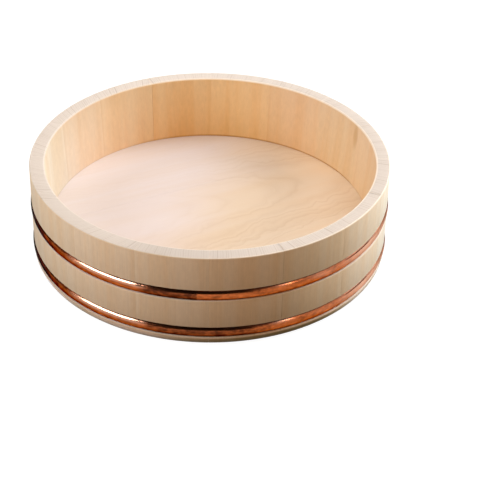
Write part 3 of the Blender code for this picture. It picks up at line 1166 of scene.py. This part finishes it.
@dataclass(frozen=True)
class HoopWearAndSheen:
    """Where one hoop's ends lap, and its tarnish, painted sheen and painted shade round the tub, as curves of
    degrees and level.

    The painted sheen reaches down the hoop's face as far as the reach curve says, and painted shade lies
    under the seat's upper lip above the height that its own curve gives; both are counted from the middle of
    the face in half widths.
    """

    lap_start: float
    lap_stop: float
    tarnish_and_shade: Curve
    painted_sheen: Curve
    # How far down the face the painted sheen reaches, round the tub.
    reach: Curve = (
        (30.0, 0.3), (210.0, 0.3), (230.0, 0.0), (270.0, 0.0), (284.0, -0.3), (300.0, -0.3), (316.0, 1.6),
        (352.0, 1.6))
    # Painted shade on the top of the face, under the seat's upper lip.
    lip_shade: Curve = (
        (6.0, 0.0), (276.0, 0.0), (283.0, 0.9), (289.0, 0.9), (296.0, 0.7), (326.0, 0.7), (336.0, 0.45),
        (354.0, 0.55))
    lip_shade_from: Curve = (
        (6.0, 0.4), (276.0, 0.5), (283.0, 0.55), (289.0, 0.65), (296.0, 0.78), (326.0, 0.75), (336.0, 0.4),
        (354.0, 0.4))
    reach_ramp: float = 0.6
    lip_shade_ramp: float = 0.15


@dataclass
class CopperHoops:
    """Two half-round copper hoops in their seats, each lapped and brazed at one place and hammered."""

    width: float = 8.4 * MM
    sunk: float = 2.0 * MM
    proud: float = 0.9 * MM
    clearance: float = 0.1 * MM
    steps: int = 1440
    crown_steps: int = 20
    sharp: float = 60.0
    wave: float = 0.01 * MM
    wave_orders: Sequence[int] = (17, 29, 43, 61, 83, 107)
    wave_swing: Pair = (0.3, 1.0)
    wave_lean: Pair = (0.4, 1.4)
    lap_step: float = 0.14 * MM
    lap_ramp: float = 0.5
    lap_teeth: Sequence[Triple] = ((0.9, 5.0, 0.0), (0.5, 13.0, 1.0))
    seed: int = 3
    # Each hoop's lap, its tarnish with painted dark reflections, and its painted sheen, round the tub.
    wear_and_sheen: Sequence[HoopWearAndSheen] = (
        HoopWearAndSheen(
            lap_start=250.5, lap_stop=266.5,
            tarnish_and_shade=((170.0, 1.2), (202.0, 1.1), (212.0, 0.7), (229.0, 0.4), (248.5, 0.35), (252.5, 0.85),
                     (266.3, 0.9), (266.7, 0.4), (290.0, 0.4), (312.0, 0.3), (335.0, 0.15), (350.0, 0.4)),
            painted_sheen=((220.0, 0.0), (230.0, 0.6), (247.5, 0.6), (251.5, 0.03), (288.0, 0.03), (292.5, 0.2),
                    (297.0, 0.03), (301.0, 0.06), (305.0, 0.18), (309.0, 0.15), (313.0, 0.1), (326.0, 0.7),
                    (346.0, 0.8))),
        HoopWearAndSheen(
            lap_start=250.0, lap_stop=262.0,
            tarnish_and_shade=((170.0, 1.2), (202.0, 1.1), (212.0, 0.75), (229.0, 0.45), (248.5, 0.4), (252.5, 0.8),
                     (282.0, 0.75), (289.0, 0.45), (312.0, 0.3), (335.0, 0.1), (350.0, 0.4)),
            painted_sheen=((220.0, 0.0), (230.0, 0.6), (247.5, 0.6), (251.5, 0.03), (288.0, 0.03), (292.5, 0.4),
                    (298.0, 0.03), (313.0, 0.1), (326.0, 0.7), (346.0, 0.8))),
    )
    finish: CopperFinish = field(default_factory=CopperFinish)

    def build(self, wall: StaveWall) -> list[Piece]:
        """Make and dress both hoops.

        Args:
            wall: the wall that they bind.
        Returns:
            The upper hoop and the lower hoop.
        """
        copper = self.finish.build()
        draw = np.random.default_rng(self.seed)
        hoops = []
        for hoop, middle, wear_and_sheen in zip(Hoop, wall.hoop_heights, self.wear_and_sheen):
            mesh = self.ring(wall, middle)
            self.dress(mesh, middle, wear_and_sheen, draw)
            hoops.append(put(hoop.value, mesh, copper, self.sharp))
        return hoops

    def ring(self, wall: StaveWall, middle: float) -> Mesh:
        """The plain hoop, before it is dressed.

        Args:
            wall: the wall that it binds.
            middle: height of its middle.
        Returns:
            The hoop's mesh.
        """
        surface, half = wall.outside(middle), self.width / 2.0
        edge, back = surface - self.sunk, surface - wall.seat_depth + self.clearance
        dome = arc((edge, middle), (self.sunk + self.proud, half), 90.0, -90.0, self.crown_steps)
        section = np.vstack(([(back, middle + half)], dome, [(back, middle - half)]))
        angles = np.linspace(0.0, TURN, self.steps, endpoint=False)
        return swept(section, angles, np.zeros(self.steps), closed=True)

    def dress(self, mesh: Mesh, middle: float, wear_and_sheen: HoopWearAndSheen, draw: Draw) -> None:
        """Work the hoop's face: slow waves from the hammer, the step where the ends lap, its tarnish, painted
        sheen and painted shade.

        Args:
            mesh: the hoop.
            middle: height of its middle.
            wear_and_sheen: its lap, tarnish, painted sheen and painted shade.
            draw: source of the waves.
        """
        co = points_of(mesh)
        turn, radius = np.arctan2(co[:, 1], co[:, 0]), np.hypot(co[:, 0], co[:, 1])
        rise = (co[:, 2] - middle) / (self.width / 2.0)
        depth = self.sunk + self.proud
        face = np.clip((radius - (radius.max() - depth)) / depth, 0.0, 1.0)
        wave = np.zeros(len(co))
        for order in self.wave_orders:
            swing = draw.uniform(*self.wave_swing) * np.sin(order * turn + draw.uniform(0.0, TURN))
            wave += swing * np.cos(rise * draw.uniform(*self.wave_lean) + draw.uniform(0.0, TURN))
        degrees = np.degrees(np.mod(turn, TURN))
        teeth = sum(size * np.sin(rise * pace + phase) for size, pace, phase in self.lap_teeth)
        lap = np.clip((degrees - wear_and_sheen.lap_start - teeth) / self.lap_ramp, 0.0, 1.0)
        lap = lap * (degrees < wear_and_sheen.lap_stop)
        radius = radius + face * (self.wave * (wave - wave.max()) - self.lap_step * (1.0 - lap))
        co[:, 0], co[:, 1] = radius * np.cos(turn), radius * np.sin(turn)
        move_points(mesh, co)
        store(mesh, "grain", np.column_stack((np.radians(degrees) * radius.max(), co[:, 2], radius)))
        # Painted sheen, on the part of the face that catches the highlights.
        sheen_mask = np.clip((rise + round_tub(wear_and_sheen.reach, degrees)) / wear_and_sheen.reach_ramp, 0.0, 1.0)
        # Painted shade under the seat's upper lip, added to the tarnish.
        under = np.clip((rise - round_tub(wear_and_sheen.lip_shade_from, degrees)) / wear_and_sheen.lip_shade_ramp, 0.0, 1.0)
        under = under * round_tub(wear_and_sheen.lip_shade, degrees)
        store(mesh, "tarnish_and_shade", round_tub(wear_and_sheen.tarnish_and_shade, degrees) + under)
        store(mesh, "painted_sheen", round_tub(wear_and_sheen.painted_sheen, degrees) * sheen_mask * (1.0 - under))


@dataclass
class HiddenPins:
    """The bamboo pins inside the joints, which keep their own meshes."""

    prefixes: tuple[str, ...] = ("stave_pin_", "board_pin_")
    finish: BambooFinish = field(default_factory=BambooFinish)

    def dress(self) -> list[Piece]:
        """Give every pin its finish.

        Returns:
            The pins.
        """
        bamboo = self.finish.build()
        pins = [node for name, node in sorted(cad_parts.items()) if name.startswith(self.prefixes)]
        for pin in pins:
            pin.data.materials.clear()
            pin.data.materials.append(bamboo)
            LOG.info("%s: bamboo", pin.name)
        return pins


def direction(azimuth: float, elevation: float) -> Vector:
    """Unit vector towards an azimuth and elevation, in degrees."""
    turn, lift = math.radians(azimuth), math.radians(elevation)
    return Vector((math.cos(turn) * math.cos(lift), math.sin(turn) * math.cos(lift), math.sin(lift)))


@dataclass(frozen=True)
class Softbox:
    """A flat studio lamp that looks at the tub, and doesn't show in the copper."""

    name: str
    azimuth: float
    elevation: float
    distance: float
    size: float
    watts: float

    def hang(self, target: Vector) -> None:
        """Put the lamp in the studio.

        Args:
            target: what it looks at.
        """
        way = direction(self.azimuth, self.elevation)
        light = bpy.data.lights.new(self.name, "AREA")
        light.shape = "RECTANGLE"
        light.size = self.size
        light.size_y = self.size
        light.energy = self.watts
        lamp = show(self.name, light)
        lamp.location = target + way * self.distance
        lamp.rotation_euler = way.to_track_quat("Z", "Y").to_euler()
        lamp.visible_glossy = False


@dataclass(frozen=True)
class StudioCard:
    """A curved card round the tub that shows in the copper only."""

    name: str
    azimuths: Pair
    elevations: Pair
    distance: float
    level: float
    tint: Colour = WHITE
    columns: int = 48
    rows: int = 12

    def hang(self) -> None:
        """Put the card in the studio."""
        turns = np.linspace(*self.azimuths, self.columns + 1)
        lifts = np.linspace(*self.elevations, self.rows + 1)
        points = [direction(turn, lift) * self.distance for lift in lifts for turn in turns]
        across = len(turns)
        corners = [row * across + column for row in range(self.rows) for column in range(self.columns)]
        faces = [(corner, corner + 1, corner + across + 1, corner + across) for corner in corners]
        mesh = bpy.data.meshes.new(self.name)
        mesh.from_pydata(points, [], faces)
        material, pen = new_pen(self.name)
        pen.finish("Emission", {"Color": self.tint, "Strength": self.level})
        mesh.materials.append(material)
        card = show(self.name, mesh)
        card.visible_camera = False
        card.visible_diffuse = False
        card.visible_transmission = False
        card.visible_shadow = False


@dataclass
class Studio:
    """Table, lamps, cards, surroundings and camera."""

    aim: Vector = field(default_factory=lambda: Vector((0.0, 0.0, 37.5 * MM)))
    table_size: float = 12.0
    ambient: float = 0.41
    ambient_tint: Colour = (1.0, 0.60, 0.31)
    lamps: Sequence[Softbox] = (
        Softbox("right_window", 21.0, 26.0, 1.4, 0.8, 18.7),
        Softbox("right_softbox", 15.0, 58.0, 1.4, 0.7, 3.2),
        Softbox("far_softbox", 50.0, 45.0, 1.4, 0.8, 4.1),
        Softbox("left_window", 196.0, 26.0, 1.4, 0.8, 10.2),
        Softbox("back_softbox", 90.0, 60.0, 1.5, 0.8, 1.7),
        Softbox("top_softbox", 90.0, 85.0, 1.5, 1.0, 3.6),
    )
    cards: Sequence[StudioCard] = (
        StudioCard("dark_tent", (0.0, 360.0), (1.0, 89.9), 2.4, 0.015),
        StudioCard("right_reflector", (296.0, 358.0), (1.0, 50.0), 2.1, 1.0),
        StudioCard("right_panel", (358.0, 440.0), (1.0, 40.0), 2.05, 1.8),
        StudioCard("right_gap", (356.0, 377.0), (0.5, 18.0), 2.0, 0.14, (1.0, 0.40, 0.12)),
        StudioCard("left_wall", (156.0, 190.0), (0.5, 42.0), 2.1, 0.30, (1.0, 0.65, 0.50)),
        StudioCard("left_panel", (184.0, 226.0), (0.5, 9.0), 2.0, 0.7),
        StudioCard("left_glint", (190.0, 226.0), (9.0, 30.0), 2.0, 12.0),
        StudioCard("right_glint", (316.0, 320.0), (14.0, 36.0), 2.0, 9.0),
    )
    frame_pixels: float = 500.0
    focal_pixels: float = 1720.0
    aim_pixel: Pair = (209.50, 199.72)
    sensor: float = 36.0
    camera_azimuth: float = 270.0
    camera_elevation: float = 32.27
    camera_distance: float = 1.310
    camera_roll: float = 0.402

    def build(self) -> None:
        """Set up everything round the tub."""
        bpy.context.scene.view_settings.view_transform = "Standard"
        self.lay_table()
        self.surround()
        for lamp in self.lamps:
            lamp.hang(self.aim)
        for card in self.cards:
            card.hang()
        self.set_camera()

    def lay_table(self) -> None:
        """A pale table top at the level of the tub's foot."""
        half = self.table_size / 2.0
        corners = [(-half, -half, 0.0), (half, -half, 0.0), (half, half, 0.0), (-half, half, 0.0)]
        mesh = bpy.data.meshes.new("table")
        mesh.from_pydata(corners, [], [(0, 1, 2, 3)])
        mesh.materials.append(TableFinish().build())
        table = show("table", mesh)

    def surround(self) -> None:
        """A white room: dim as a light, white where the camera or the copper sees it."""
        world = bpy.data.worlds.new("studio")
        world.use_nodes = True
        bpy.context.scene.world = world
        pen = NodePen(world.node_tree)
        seen = pen.seen_directly()
        strength = pen.span(seen, UNIT, (self.ambient, 1.0))
        colour = pen.mix(seen, self.ambient_tint, WHITE)
        pen.finish("Background", {"Color": colour, "Strength": strength}, "OutputWorld")

    def set_camera(self) -> None:
        """A long lens from the front, at the photograph's height and framing."""
        data = bpy.data.cameras.new("camera")
        data.sensor_width = self.sensor
        data.lens = self.focal_pixels / self.frame_pixels * self.sensor
        data.shift_x = 0.5 - self.aim_pixel[0] / self.frame_pixels
        data.shift_y = self.aim_pixel[1] / self.frame_pixels - 0.5
        camera = show("camera", data)
        way = direction(self.camera_azimuth, self.camera_elevation)
        camera.location = self.aim + way * self.camera_distance
        roll = Matrix.Rotation(math.radians(self.camera_roll), 4, "Z")
        camera.rotation_euler = (way.to_track_quat("Z", "Y").to_matrix().to_4x4() @ roll).to_euler()
        bpy.context.scene.camera = camera


def main() -> None:
    """Dress the tub and set up the studio."""
    logging.basicConfig(level=logging.INFO, format="%(name)s: %(message)s")
    wall = StaveWall()
    staves = wall.build()
    boards = BoardBottom().build()
    hoops = CopperHoops().build(wall)
    pins = HiddenPins().dress()
    LOG.info("%d staves, %d boards, %d hoops and %d pins dressed",
             len(staves), len(boards), len(hoops), len(pins))
    Studio().build()


if __name__ == "__main__":
    main()
